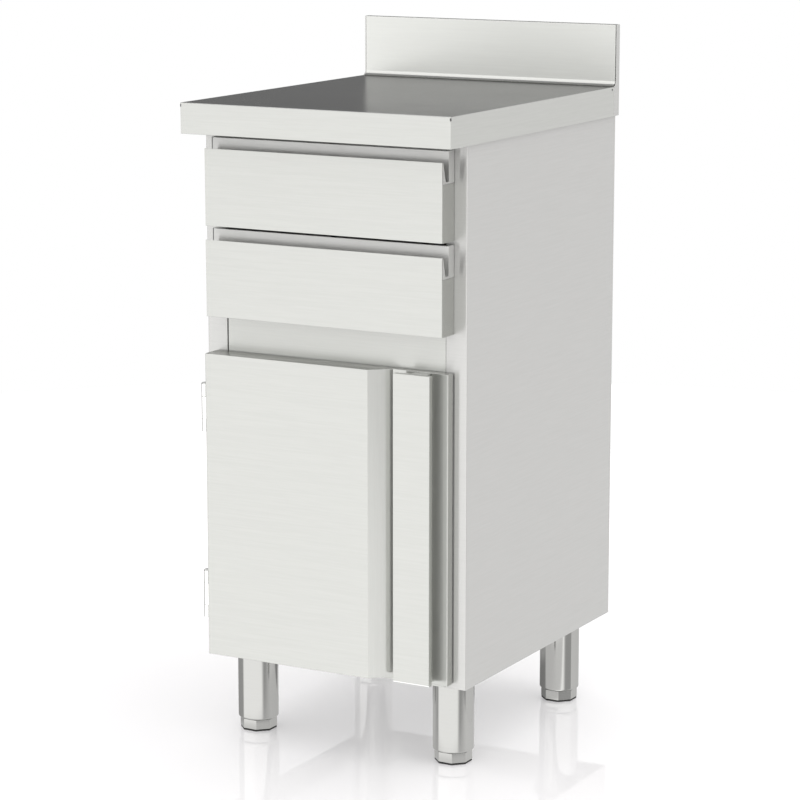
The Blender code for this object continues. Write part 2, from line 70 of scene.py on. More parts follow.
HALF_W, TOP_FRONT, TOP_REAR = TOP_W / 2, -TOP_D / 2, TOP_D / 2
APRON_Z, SPLASH_Z = TOP_Z - APRON_H, TOP_Z + SPLASH_H
SPLASH_Y = TOP_REAR - SPLASH_T
COVE_Y = SPLASH_Y - COVE_R
REAR_HALF_W = HALF_W - SHEET_TOP - CAP_GAP
UNDER_TOP = TOP_Z - SHEET_TOP - GAP
INNER_X = BODY_X - SHEET - 0.4
BACK_Y = BODY_REAR - SHEET - GAP
TUB_REAR = BACK_Y - SHEET - GAP
RAIL_X = POST_IN - GAP
MID_TOP = 714.0
BAY_X = POST_IN - 0.5


# ------------------------------------------------------------------ materials
def tree(name):
    mat = bpy.data.materials.new(name)
    mat.use_nodes = True
    nt = mat.node_tree
    return mat, nt, nt.nodes["Principled BSDF"]


def add(nt, kind, **props):
    node = nt.nodes.new(kind)
    for key, value in props.items():
        setattr(node, key, value)
    return node


def noise(nt, coords, scale, detail=3.0, rough=0.6, spread=1.0, shift=(0, 0, 0)):
    """Noise stretched by a scale for each axis, in features per metre."""
    mapping = add(nt, "ShaderNodeMapping")
    mapping.inputs["Scale"].default_value = scale
    mapping.inputs["Location"].default_value = shift
    nt.links.new(coords, mapping.inputs["Vector"])
    tex = add(nt, "ShaderNodeTexNoise", noise_dimensions="3D")
    tex.inputs["Scale"].default_value = spread
    tex.inputs["Detail"].default_value = detail
    tex.inputs["Roughness"].default_value = rough
    nt.links.new(mapping.outputs["Vector"], tex.inputs["Vector"])
    return tex.outputs["Fac"]


def ramp(nt, value, lo, hi, out_lo, out_hi):
    node = add(nt, "ShaderNodeMapRange", interpolation_type="SMOOTHSTEP")
    for key, v in (("From Min", lo), ("From Max", hi), ("To Min", out_lo), ("To Max", out_hi)):
        node.inputs[key].default_value = v
    nt.links.new(value, node.inputs["Value"])
    return node.outputs["Result"]


def math_node(nt, op, a, b=None):
    node = add(nt, "ShaderNodeMath", operation=op)
    for i, v in enumerate((a, b)):
        if v is None:
            continue
        if isinstance(v, (int, float)):
            node.inputs[i].default_value = v
        else:
            nt.links.new(v, node.inputs[i])
    return node.outputs[0]


def shade(nt, factor, dark, light):
    node = add(nt, "ShaderNodeMix", data_type="RGBA")
    node.inputs["A"].default_value = (*dark, 1.0)
    node.inputs["B"].default_value = (*light, 1.0)
    nt.links.new(factor, node.inputs["Factor"])
    return [s for s in node.outputs if s.type == "RGBA"][0]


def steel(name, colour, rough, grain, contrast=0.02, spread=0.03, bump=0.03, cloud=0.015, scratch=0.0, brushed=None,
          edge=0.75, metal=1.0):
    """Brushed stainless sheet: streaks along the grain in colour, roughness and height, with faint large clouds.

    brushed is the turn of the wide highlight away from the horizontal, in whole turns; edge is the tint near grazing;
    metal is below 1 where fine grinding leaves a matte share.
    """
    mat, nt, bsdf = tree(name)
    coords = add(nt, "ShaderNodeTexCoord").outputs["Object"]
    streak = noise(nt, coords, grain, detail=4.0, rough=0.62)
    fine = noise(nt, coords, tuple(g * 3.3 for g in grain), detail=2.0, shift=(3.1, 7.7, 1.3))
    clouds = noise(nt, coords, (5.0, 5.0, 5.0), detail=3.0, shift=(11.0, 2.0, 5.0))
    both = math_node(nt, "ADD", math_node(nt, "MULTIPLY", streak, 0.62), math_node(nt, "MULTIPLY", fine, 0.38))
    tone = ramp(nt, both, 0.34, 0.66, 0.0, 1.0)
    tone = math_node(nt, "ADD", math_node(nt, "MULTIPLY", tone, 0.8), math_node(nt, "MULTIPLY", clouds, 0.4))
    nt.links.new(shade(nt, tone, tuple(c * (1 - contrast) for c in colour), tuple(c * (1 + contrast) for c in colour)),
                 bsdf.inputs["Base Color"])
    gloss = ramp(nt, fine, 0.3, 0.7, rough - spread, rough + spread)
    gloss = math_node(nt, "ADD", gloss, ramp(nt, clouds, 0.35, 0.65, -cloud, cloud))
    height = both
    if scratch:
        # short wiping marks that cross the grain at a low angle
        marks = noise(nt, coords, (grain[1] * 0.9 + 9.0, grain[0] * 2.0 + 300.0, 260.0), detail=1.0, shift=(0.4, 0.9, 0.2))
        marks = ramp(nt, marks, 0.66, 0.74, 0.0, scratch)
        gloss = math_node(nt, "ADD", gloss, marks)
    nt.links.new(gloss, bsdf.inputs["Roughness"])
    bsdf.inputs["Metallic"].default_value = metal
    bsdf.inputs["Specular IOR Level"].default_value = 0.2
    bsdf.inputs["Specular Tint"].default_value = (edge, edge, edge, 1.0)
    if brushed is not None:
        bsdf.inputs["Anisotropic"].default_value = 1.0
        bsdf.inputs["Anisotropic Rotation"].default_value = brushed
        tangent = add(nt, "ShaderNodeTangent", direction_type="RADIAL", axis="Z")
        nt.links.new(tangent.outputs["Tangent"], bsdf.inputs["Tangent"])
    rise = add(nt, "ShaderNodeBump")
    rise.inputs["Strength"].default_value = bump
    rise.inputs["Distance"].default_value = 0.0002
    nt.links.new(height, rise.inputs["Height"])
    nt.links.new(rise.outputs["Normal"], bsdf.inputs["Normal"])
    mat.diffuse_color = (*colour, 1.0)
    return mat


def polymer(name, dark, light, rough, grain_scale, bump):
    """Moulded rubber or plastic with a fine pebbled surface and slight wear."""
    mat, nt, bsdf = tree(name)
    coords = add(nt, "ShaderNodeTexCoord").outputs["Object"]
    pebble = noise(nt, coords, (grain_scale,) * 3, detail=3.0)
    clouds = noise(nt, coords, (28.0, 28.0, 28.0), detail=4.0, shift=(4.0, 1.0, 9.0))
    nt.links.new(shade(nt, ramp(nt, clouds, 0.35, 0.7, 0.0, 1.0), dark, light), bsdf.inputs["Base Color"])
    nt.links.new(ramp(nt, pebble, 0.3, 0.7, rough - 0.08, rough + 0.08), bsdf.inputs["Roughness"])
    rise = add(nt, "ShaderNodeBump")
    rise.inputs["Strength"].default_value = bump
    rise.inputs["Distance"].default_value = 0.0003
    nt.links.new(pebble, rise.inputs["Height"])
    nt.links.new(rise.outputs["Normal"], bsdf.inputs["Normal"])
    mat.diffuse_color = (*dark, 1.0)
    return mat


STEEL = (0.470, 0.474, 0.453)
SATIN = (0.518, 0.522, 0.4995)
LEVEL_GRAIN = (9.0, 9.0, 420.0)       # horizontal brushing on upright faces
UPRIGHT_GRAIN = (330.0, 330.0, 8.0)   # vertical brushing
FLAT_GRAIN = (9.0, 420.0, 420.0)      # brushing along X on flat faces

MAT = {
    "front": steel("steel_front_brushed", SATIN, 0.16, LEVEL_GRAIN, contrast=0.032, spread=0.02, cloud=0.01, brushed=0.25,
                   metal=0.55),
    # a shaded copy of the steel for faces turned sideways and the door top: painted shade
    "edge": steel("steel_edge_brushed_painted_shade", (0.512, 0.516, 0.494), 0.25, LEVEL_GRAIN, contrast=0.012, spread=0.01,
                  bump=0.015, cloud=0.005, brushed=0.25),
    # a lighter copy of the steel for the upstand's face: painted light
    "upstand": steel("steel_upstand_painted_light", (0.648, 0.652, 0.626), 0.14, LEVEL_GRAIN, spread=0.02, cloud=0.01,
                     brushed=0.25, metal=0.43),
    "side": steel("steel_side_brushed", (0.525, 0.523, 0.510), 0.20, LEVEL_GRAIN, contrast=0.028, brushed=0.25,
                  metal=0.55),
    "bevel": steel("steel_bevel_brushed", SATIN, 0.07, UPRIGHT_GRAIN, contrast=0.03, spread=0.01, bump=0.02, cloud=0.005, brushed=0.0,
                   metal=0.6),
    # a darker pure-metal copy with vertical brushing for the door recess: painted shade
    "groove": steel("steel_groove_brushed_painted_shade", STEEL, 0.29, UPRIGHT_GRAIN, contrast=0.012, spread=0.008, bump=0.01, cloud=0.003,
                    brushed=0.0),
    # a darker copy of the steel for the flat top, its grazing tint lowered too: painted shade; the wiping marks are
    # wear
    "top": steel("steel_top_painted_shade", (0.381, 0.381, 0.373), 0.22, FLAT_GRAIN, contrast=0.015, spread=0.02,
                 bump=0.006, cloud=0.012, scratch=0.05, edge=0.525),
    "inner": steel("steel_inner_rolled", (0.47, 0.47, 0.46), 0.32, FLAT_GRAIN, contrast=0.03, bump=0.04),
    "inner_up": steel("steel_inner_upright", (0.47, 0.47, 0.46), 0.32, LEVEL_GRAIN, contrast=0.03, bump=0.04),
    "leg": steel("steel_leg_polished", (0.420, 0.418, 0.405), 0.13, (14.0, 14.0, 700.0), contrast=0.015, spread=0.03,
                 bump=0.012, cloud=0.02),
    # bright polished steel of the hinges, rivets and screws, also laid on the tub's underside and the handle's lower
    # chamfer as painted light
    "hinge": steel("steel_bright_polished_and_painted_light", (0.78, 0.78, 0.765), 0.20, (160.0, 160.0, 160.0), contrast=0.03,
                   spread=0.04, bump=0.02),
    "zinc": steel("zinc_slide_plated", (0.50, 0.515, 0.53), 0.34, (60.0, 8.0, 60.0), contrast=0.07, spread=0.08,
                  bump=0.04, cloud=0.06),
    "rubber": polymer("rubber_black_moulded", (0.018, 0.018, 0.018), (0.034, 0.033, 0.032), 0.66, 900.0, 0.25),
    # real moulded plastic of the magnet catch, also used as painted shade on the pulls and worktop reliefs
    "plastic": polymer("dark_plastic_and_painted_shade", (0.035, 0.035, 0.036), (0.055, 0.055, 0.056), 0.5, 1400.0, 0.15),
}


# ------------------------------------------------------------------ drawing
AXES = {"X": Vector((1, 0, 0)), "Y": Vector((0, 1, 0)), "Z": Vector((0, 0, 1))}


def place(point, t, axis):
    u, v = point
    return Vector({"X": (t, u, v), "Y": (u, t, v), "Z": (u, v, t)}[axis]) * MM


def near(a, b, tol=0.01):
    return abs(a - b) < tol


def arc(cx, cy, r, start, end, count):
    step = (end - start) / count
    return [(cx + r * math.cos(math.radians(start + i * step)),
             cy + r * math.sin(math.radians(start + i * step))) for i in range(count + 1)]


def fillet(points, radius, segs=4, closed=False):
    """Round the corners of a flat line. The radius is one number, or one for each point."""
    n, out = len(points), []
    for i, p in enumerate(points):
        r = radius[i] if isinstance(radius, (list, tuple)) else radius
        if r <= 0 or (not closed and i in (0, n - 1)):
            out.append(tuple(p))
            continue
        c = Vector(p)
        u, v = Vector(points[i - 1]) - c, Vector(points[(i + 1) % n]) - c
        lu, lv = u.length, v.length
        u.normalize()
        v.normalize()
        angle = math.acos(max(-1.0, min(1.0, u.dot(v))))
        if angle > math.pi - 0.02:
            out.append(tuple(p))
            continue
        d = min(r / math.tan(angle / 2), 0.49 * lu, 0.49 * lv)
        rr = d * math.tan(angle / 2)
        centre = c + (u + v).normalized() * (rr / math.sin(angle / 2))
        s, e = c + u * d - centre, c + v * d - centre
        a0 = math.atan2(s.y, s.x)
        turn = (math.atan2(e.y, e.x) - a0 + math.pi) % math.tau - math.pi
        out += [(centre.x + rr * math.cos(a0 + turn * k / segs), centre.y + rr * math.sin(a0 + turn * k / segs))
                for k in range(segs + 1)]
    return out


def parallel(points, t):
    """The line at a distance t to the left of a flat line."""
    dirs = [(Vector(b) - Vector(a)).normalized() for a, b in zip(points, points[1:])]
    left = [Vector((-d.y, d.x)) for d in dirs]
    out = []
    for i, p in enumerate(points):
        if i == 0:
            step = left[0]
        elif i == len(points) - 1:
            step = left[-1]
        else:
            step = (left[i - 1] + left[i]) / (1.0 + left[i - 1].dot(left[i]))
        out.append(tuple(Vector(p) + step * t))
    return out, dirs


def folded(points, lo, hi, axis, t=SHEET, radius=1.8, side=1, segs=4):
    """A sheet folded along a line and swept along an axis. Its outside is on the line, t thick to the left or right."""
    inner, dirs = parallel(points, t * side)
    r_out, r_in = [0.0] * len(points), [0.0] * len(points)
    for i in range(1, len(points) - 1):
        turn = (dirs[i - 1].x * dirs[i].y - dirs[i - 1].y * dirs[i].x) * side
        bend = radius[i] if isinstance(radius, (list, tuple)) else radius
        big, small = bend, max(bend - t, 0.3)
        r_out[i], r_in[i] = (big, small) if turn > 0 else (small, big)
    a, b = fillet(points, r_out, segs), fillet(inner, r_in, segs)
    bm = bmesh.new()
    rows = [[bm.verts.new(place(p, z, axis)) for p in line] for line in (a, b) for z in (lo, hi)]
    a0, a1, b0, b1 = rows
    for i in range(len(a) - 1):
        bm.faces.new((a0[i], a0[i + 1], a1[i + 1], a1[i]))
        bm.faces.new((b0[i + 1], b0[i], b1[i], b1[i + 1]))
        bm.faces.new((a0[i + 1], a0[i], b0[i], b0[i + 1]))
        bm.faces.new((a1[i], a1[i + 1], b1[i + 1], b1[i]))
    for i in (0, len(a) - 1):
        bm.faces.new((a0[i], a1[i], b1[i], b0[i]))
    bmesh.ops.recalc_face_normals(bm, faces=bm.faces)
    return bm


def prism(points, lo, hi, axis):
    bm = bmesh.new()
    face = bm.faces.new([bm.verts.new(place(p, lo, axis)) for p in points])
    out = bmesh.ops.extrude_face_region(bm, geom=[face])
    new = [g for g in out["geom"] if isinstance(g, bmesh.types.BMVert)]
    bmesh.ops.translate(bm, verts=new, vec=AXES[axis] * (hi - lo) * MM)
    bmesh.ops.recalc_face_normals(bm, faces=bm.faces)
    return bm


def block(x, y, z, bm=None):
    bm = bm or bmesh.new()
    made = bmesh.ops.create_cube(bm, size=1.0)["verts"]
    spans = (x, y, z)
    bmesh.ops.scale(bm, verts=made, vec=[(b - a) * MM for a, b in spans])
    bmesh.ops.translate(bm, verts=made, vec=[(a + b) / 2 * MM for a, b in spans])
    return bm


def drop_face(bm, direction):
    d = Vector(direction)
    faces = [f for f in bm.faces if f.normal.dot(d) > 0.99]
    face = max(faces, key=lambda f: f.calc_center_median().dot(d))
    bmesh.ops.delete(bm, geom=[face], context="FACES_ONLY")
    return bm


def round_folds(bm, test=None, radius=1.8, segments=4, least=0.6):
    edges = [e for e in bm.edges if len(e.link_faces) == 2 and e.calc_face_angle(0.0) > least
             and (test is None or all(test(v.co / MM) for v in e.verts))]
    bmesh.ops.bevel(bm, geom=edges, offset=radius * MM, segments=segments, profile=0.5,
                    affect="EDGES", clamp_overlap=True)
    return bm


def pull(bm, edges, offset):
    out = bmesh.ops.extrude_edge_only(bm, edges=edges)
    new = [g for g in out["geom"] if isinstance(g, bmesh.types.BMVert)]
    bmesh.ops.translate(bm, verts=new, vec=Vector(offset) * MM)
    return new


def strip(points, lo, hi, axis, bm=None):
    bm = bm or bmesh.new()
    verts = [bm.verts.new(place(p, lo, axis)) for p in points]
    edges = [bm.edges.new(pair) for pair in zip(verts, verts[1:])]
    pull(bm, edges, AXES[axis] * (hi - lo))
    return bm


def orient(bm, direction):
    d = Vector(direction)
    bmesh.ops.recalc_face_normals(bm, faces=bm.faces)
    ref = max(bm.faces, key=lambda f: abs(f.normal.dot(d)) * f.calc_area())
    if ref.normal.dot(d) < 0:
        bmesh.ops.reverse_faces(bm, faces=bm.faces)
    return bm


def lathe(profile, x, y, z=0.0, steps=48, axis="Z", bm=None, closed=False, spin=0.0):
    """Turn a profile of (radius, height), listed from its top down the outside, about an axis through (x, y, z)."""
    bm = bm or bmesh.new()
    rings = []
    for r, h in profile:
        if r < 1e-6:
            rings.append([(0.0, 0.0, h)])
        else:
            rings.append([(r * math.cos(math.tau * k / steps + spin), r * math.sin(math.tau * k / steps + spin), h)
                          for k in range(steps)])
    turn = Matrix.Identity(3) if axis == "Z" else (Matrix.Rotation(math.pi / 2, 3, "Y") if axis == "X"
                                                   else Matrix.Rotation(-math.pi / 2, 3, "X"))
    rings = [[bm.verts.new((turn @ Vector(p) + Vector((x, y, z))) * MM) for p in ring] for ring in rings]
    pairs = list(zip(rings, rings[1:])) + ([(rings[-1], rings[0])] if closed else [])
    for upper, lower in pairs:
        for k in range(steps):
            j = (k + 1) % steps
            if len(upper) == 1 and len(lower) == 1:
                break
            if len(upper) == 1:
                bm.faces.new((upper[0], lower[k], lower[j]))
            elif len(lower) == 1:
                bm.faces.new((upper[k], lower[0], upper[j]))
            else:
                bm.faces.new((upper[k], lower[k], lower[j], upper[j]))
    bmesh.ops.recalc_face_normals(bm, faces=bm.faces)
    return bm


def piece(name, bm, finish, body, nodes=(), sheet=None, edge=0.25, paint=None):
    """Turn a bmesh in the row frame into a piece on a body, standing for CAD nodes."""
    finishes = [finish] if isinstance(finish, str) else list(finish)
    mesh = bpy.data.meshes.new(name)
    bm.to_mesh(mesh)
    bm.free()
    mesh.shade_smooth()
    for f in finishes:
        mesh.materials.append(MAT[f])
    if paint:
        for poly in mesh.polygons:
            poly.material_index = paint(poly.center / MM, poly.normal)
    obj = bpy.data.objects.new(name, mesh)
    bpy.context.scene.collection.objects.link(obj)
    if sheet:
        mod = obj.modifiers.new("sheet", "SOLIDIFY")
        mod.thickness = sheet * MM
        mod.offset = -1.0
        mod.use_even_offset = True
        mod.use_quality_normals = True
        mod.use_rim = True
    if edge:
        mod = obj.modifiers.new("edge", "BEVEL")
        mod.width = edge * MM
        mod.segments = 2
        mod.limit_method = "ANGLE"
        mod.angle_limit = math.radians(50)
        mod.use_clamp_overlap = True
    mod = obj.modifiers.new("normals", "WEIGHTED_NORMAL")
    mod.mode = "FACE_AREA"
    mod.weight = 60
    mod.keep_sharp = True
    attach(obj, body)
    if nodes:
        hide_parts(*([nodes] if isinstance(nodes, str) else nodes))
    return obj


def rivet(bm, at, normal, r=3.2, h=1.1, steps=20):
    """A low domed head on a face, closed at its back."""
    profile = [(0.0, h), (r * 0.45, h * 0.93), (r * 0.78, h * 0.68), (r * 0.95, h * 0.32), (r, 0.06), (r, 0.0), (0.0, 0.0)]
    part = lathe(profile, 0, 0, steps=steps)
    quat = Vector((0, 0, 1)).rotation_difference(Vector(normal))
    for v in part.verts:
        v.co = quat @ v.co + Vector(at) * MM
    mesh = bpy.data.meshes.new("head")
    part.to_mesh(mesh)
    part.free()
    bm.from_mesh(mesh)
    bpy.data.meshes.remove(mesh)
    return bm


def screw_head(bm, at, normal, r=4.0, h=2.0, steps=24):
    """A pan head with a hexagonal socket."""
    d = r * 0.5
    profile = [(0.0, h * 0.45), (d, h * 0.45), (d, h * 0.97), (r * 0.62, h), (r * 0.86, h * 0.86), (r * 0.98, h * 0.55),
               (r, h * 0.2), (r, 0.0), (0.0, 0.0)]
    part = lathe(profile, 0, 0, steps=steps)
    for v in part.verts:                       # square the round recess into a hexagon
        rad = math.hypot(v.co.x, v.co.y) / MM
        if near(rad, d, 0.05):
            a = math.atan2(v.co.y, v.co.x)
            k = math.cos(math.pi / 6) / math.cos((a % (math.pi / 3)) - math.pi / 6)
            v.co.x *= k
            v.co.y *= k
    quat = Vector((0, 0, 1)).rotation_difference(Vector(normal))
    for v in part.verts:
        v.co = quat @ v.co + Vector(at) * MM
    mesh = bpy.data.meshes.new("head")
    part.to_mesh(mesh)
    part.free()
    bm.from_mesh(mesh)
    bpy.data.meshes.remove(mesh)
    return bm


# ------------------------------------------------------------------ worktop
def cove(count):
    return arc(COVE_Y, TOP_Z + COVE_R, COVE_R, -90, 0, count)


def worktop():
    bm = strip([(TOP_FRONT, APRON_Z), (TOP_FRONT, TOP_Z), (COVE_Y, TOP_Z)], -HALF_W, HALF_W, "X")
    sides = [e for e in bm.edges if all(near(v.co.z / MM, TOP_Z) for v in e.verts)
             and e.verts[0].co.x * e.verts[1].co.x > 0]
    pull(bm, sides, (0, 0, -APRON_H))
    bmesh.ops.remove_doubles(bm, verts=bm.verts, dist=0.00001)
    lower = [e for e in bm.edges if all(near(v.co.z / MM, APRON_Z) for v in e.verts)]
    for v in pull(bm, lower, (0, 0, 0)):
        if v.co.y < (TOP_FRONT + 1) * MM:
            v.co.y += HEM_FRONT * MM
        v.co.x -= math.copysign(HEM_SIDE * MM, v.co.x)
    round_folds(bm, lambda c: (near(c.z, TOP_Z) or near(c.z, APRON_Z))
                and (near(c.y, TOP_FRONT) or near(abs(c.x), HALF_W)) and c.z > APRON_Z - 1
                and not (near(c.z, APRON_Z) and c.y > TOP_FRONT + 1), radius=0.8, segments=4)
    # corner relief of the two folds, left open as on a folded and welded corner
    corner = [f for f in bm.faces
              if all((abs(v.co.x) > (HALF_W - 1.4) * MM and v.co.y < (TOP_FRONT + 1.4) * MM
                      and v.co.z > (TOP_Z - 1.4) * MM) for v in f.verts)]
    bmesh.ops.delete(bm, geom=corner, context="FACES")
    # the sheet runs on into the cove and the upstand, narrower by the end caps
    edge = max((e for e in bm.edges if all(near(v.co.y / MM, COVE_Y) and near(v.co.z / MM, TOP_Z) for v in e.verts)),
               key=lambda e: e.calc_length())
    left, right = sorted(edge.verts, key=lambda v: v.co.x)
    span = (right.co.x - left.co.x) / MM
    inset = right.co.x / MM - REAR_HALF_W
    if inset > 0.01:
        edge, first = bmesh.utils.edge_split(edge, left, inset / span)
        edge = next(e for e in first.link_edges if right in e.verts)
        bmesh.utils.edge_split(edge, right, inset / (span - inset))
        half = REAR_HALF_W
    else:
        half = right.co.x / MM
    rear = cove(10) + [(SPLASH_Y, SPLASH_Z), (TOP_REAR, SPLASH_Z), (TOP_REAR, APRON_Z)]
    rear = fillet(rear, [0.0] * 11 + [0.7, 0.7, 0.0], 4)
    strip(rear, -half, half, "X", bm)
    bmesh.ops.remove_doubles(bm, verts=bm.verts, dist=0.00001)
    return orient(bm, (0, 0, 1))


# painted shade and light: the flat top takes a darker copy of the steel, the upstand's face a lighter one, and the
# aprons the satin front steel
def worktop_paint(c, n):
    if n.z > 0.55 and (TOP_Z - 1.5 < c.z < TOP_Z + 3.5 or c.z > SPLASH_Z - 1.0):
        return 0
    return 2 if c.z > TOP_Z and n.y < -0.3 else 1


piece("worktop_fine", worktop(), ("top", "front", "upstand"), "cabinet", "worktop", sheet=SHEET_TOP, paint=worktop_paint)
# painted shade: dark plastic blocks fill the relief slots where the aprons meet, and flat dark discs mark the relief
# holes at the ends of the cap seams
bm = bmesh.new()
for side in (-1, 1):
    x = sorted((side * (HALF_W - 1.7), side * (HALF_W + 0.08)))
    block(x, (TOP_FRONT - 0.08, TOP_FRONT + 1.7), (TOP_Z - 6.6, TOP_Z - 2.2), bm)
    screw_head(bm, (side * HALF_W, 273.0, TOP_Z - 4.6), (side, 0, 0), r=2.0, h=0.1)
piece("worktop_relief_shade", bm, "plastic", "cabinet", edge=0.2)

CAP_FRONT = COVE_Y + 0.7
cap_line = [(CAP_FRONT, APRON_Z), (TOP_REAR, APRON_Z), (TOP_REAR, SPLASH_Z), (SPLASH_Y, SPLASH_Z)]
cap_line += list(reversed(cove(10)))[:-1] + [(CAP_FRONT, TOP_Z + 0.01)]
cap_line = fillet(cap_line, [0.6, 0.6, 1.2, 1.2] + [0.0] * (len(cap_line) - 4), 3, closed=True)
for side, sign in (("left", -1), ("right", 1)):
    ends = sorted((sign * (REAR_HALF_W + (CAP_GAP if sign > 0 else GAP)), sign * HALF_W))
    piece("splash_end_cap_%s_fine" % side, prism(cap_line, ends[0], ends[1], "X"), "side", "cabinet",
          "splash_end_cap_" + side, edge=0.35)

for where, y in (("front", -70.0), ("rear", 130.0)):
    hat = [(-36, 0), (-20, 0), (-20, -28), (20, -28), (20, 0), (36, 0)]
    piece("worktop_stiffener_%s_fine" % where,
          folded([(y + u, UNDER_TOP + v) for u, v in hat], -196.0, 196.0, "X", side=-1), "inner", "cabinet",
          "worktop_stiffener_" + where)

# ------------------------------------------------------------------ carcass
for side, sign in (("left", -1), ("right", 1)):
    plan = [(POST_IN, BODY_FRONT + 14), (POST_IN, BODY_FRONT), (BODY_X, BODY_FRONT),
            (BODY_X, BODY_REAR), (BODY_X - 26, BODY_REAR)]
    piece("side_panel_%s_fine" % side, folded([(sign * x, y) for x, y in plan], BODY_Z, UNDER_TOP, "Z", side=sign,
                                                radius=[0.0, 0.6, 1.8, 1.8, 0.0]), "side", "cabinet", "side_panel_" + side)


def flat(name, x, y, z, finish, body, node, edge=0.35):
    return piece(name + "_fine", block(x, y, z), finish, body, node, edge=edge)


flat("back_panel", (-INNER_X + 1.5, INNER_X - 1.5), (BACK_Y - SHEET, BACK_Y), (140.0, UNDER_TOP), "inner_up", "cabinet",
     "back_panel")
bm = bmesh.new()
for sign in (-1, 1):
    for z in (170.0, 330.0, 490.0, 650.0, 810.0, 970.0):
        rivet(bm, (sign * 221.0, BODY_REAR, z), (0, 1, 0))
for x in (-150.0, -50.0, 50.0, 150.0):
    for z in (152.0, 1020.0):
        rivet(bm, (x, BACK_Y, z), (0, 1, 0), h=1.2)
piece("back_panel_rivets", bm, "hinge", "cabinet", edge=None)

rail = [(BODY_FRONT + 20, 975.0), (BODY_FRONT, 975.0), (BODY_FRONT, 1042.0), (BODY_FRONT + 20, 1042.0)]
piece("top_rail_front_fine", folded(rail, -RAIL_X, RAIL_X, "X", side=-1), "front", "cabinet", "top_rail_front")
rail = [(TUB_REAR - 22, 1042.0), (TUB_REAR, 1042.0), (TUB_REAR, 996.0)]
piece("top_rail_rear_fine", folded(rail, -INNER_X, INNER_X, "X", side=-1), "inner", "cabinet", "top_rail_rear")
rail = [(BODY_FRONT + 24, 630.0), (BODY_FRONT, 630.0), (BODY_FRONT, MID_TOP), (BODY_FRONT + 24, MID_TOP)]
piece("mid_rail_fine", folded(rail, -POST_IN + 2.2, RAIL_X, "X", side=-1), "front", "cabinet", "mid_rail")

flat("divider_panel", (-BAY_X + SHEET + GAP, BAY_X - SHEET - GAP), (BODY_FRONT + 2.5, TUB_REAR),
     (MID_TOP + GAP, MID_TOP + GAP + SHEET), "inner", "cabinet", "divider_panel")
for side, sign in (("left", -1), ("right", 1)):
    ends = sorted((sign * (BAY_X - SHEET), sign * BAY_X))
    flat("drawer_bay_side_" + side, ends, (BODY_FRONT + 2.5, 290.0), (716.5, 970.0), "inner_up", "cabinet",
         "drawer_bay_side_" + side)

notch_y = BODY_FRONT + 14.8
floor_line = [(-RAIL_X, BODY_FRONT), (RAIL_X, BODY_FRONT), (RAIL_X, notch_y), (INNER_X, notch_y),
              (INNER_X, TUB_REAR), (-INNER_X, TUB_REAR), (-INNER_X, notch_y), (-RAIL_X, notch_y)]
bm = round_folds(drop_face(prism(floor_line, BODY_Z, FLOOR_Z, "Z"), (0, 0, -1)), radius=1.6, segments=4)


def floor_paint(c, n):
    return 1 if n.z > 0.7 else 0


tub = piece("bottom_panel_fine", bm, ("front", "inner", "hinge"), "cabinet", "bottom_panel", sheet=SHEET,
            paint=floor_paint)
tub.modifiers["sheet"].material_offset = 1     # the underside takes the bright hinge steel: painted light, so its mirror image on the floor reads light

bm = drop_face(block((-228.0, 228.0), (-214.0, 290.0), (SHELF_Z - 19.7, SHELF_Z)), (0, 0, -1))
piece("shelf_fine", round_folds(bm, radius=2.0), "inner", "cabinet", "shelf", sheet=SHEET)
for side, sign in (("left", -1), ("right", 1)):
    foot_z = SHELF_Z - 20.0 - SHEET
    line = [(sign * u, v) for u, v in ((INNER_X, foot_z + 32.0), (INNER_X, foot_z), (208.0, foot_z))]
    piece("shelf_support_%s_fine" % side, folded(line, -210.0, 285.0, "Y", side=-sign), "inner_up", "cabinet",
          "shelf_support_" + side)

# magnetic catch: moulded case with two pole plates at its face
MAGNET_Y = DOOR_REAR + 1.8
bm = round_folds(block((140.0, 180.0), (MAGNET_Y + 1.5, BODY_FRONT + 20.0), (618.0, 629.7)), radius=1.0, segments=3)
for z in (620.2, 625.2):
    block((145.0, 175.0), (MAGNET_Y, MAGNET_Y + 1.45), (z, z + 2.3), bm)
piece("magnet_catch_fine", bm, ("plastic", "hinge"), "cabinet", "magnet_catch", edge=0.2,
      paint=lambda c, n: 1 if c.y < MAGNET_Y + 1.47 and 145 <= c.x <= 175 and abs(c.x - 160) < 15.01
      and (620.1 < c.z < 622.6 or 625.1 < c.z < 627.6) else 0)

# ------------------------------------------------------------------ drawers
def end_shade_paint(c, n):
    """Painted shade: faces turned to either side take the pure-metal edge steel, tuned so they read darker; the rest
    are satin.
    """
    return 1 if abs(n.x) > 0.8 else 0


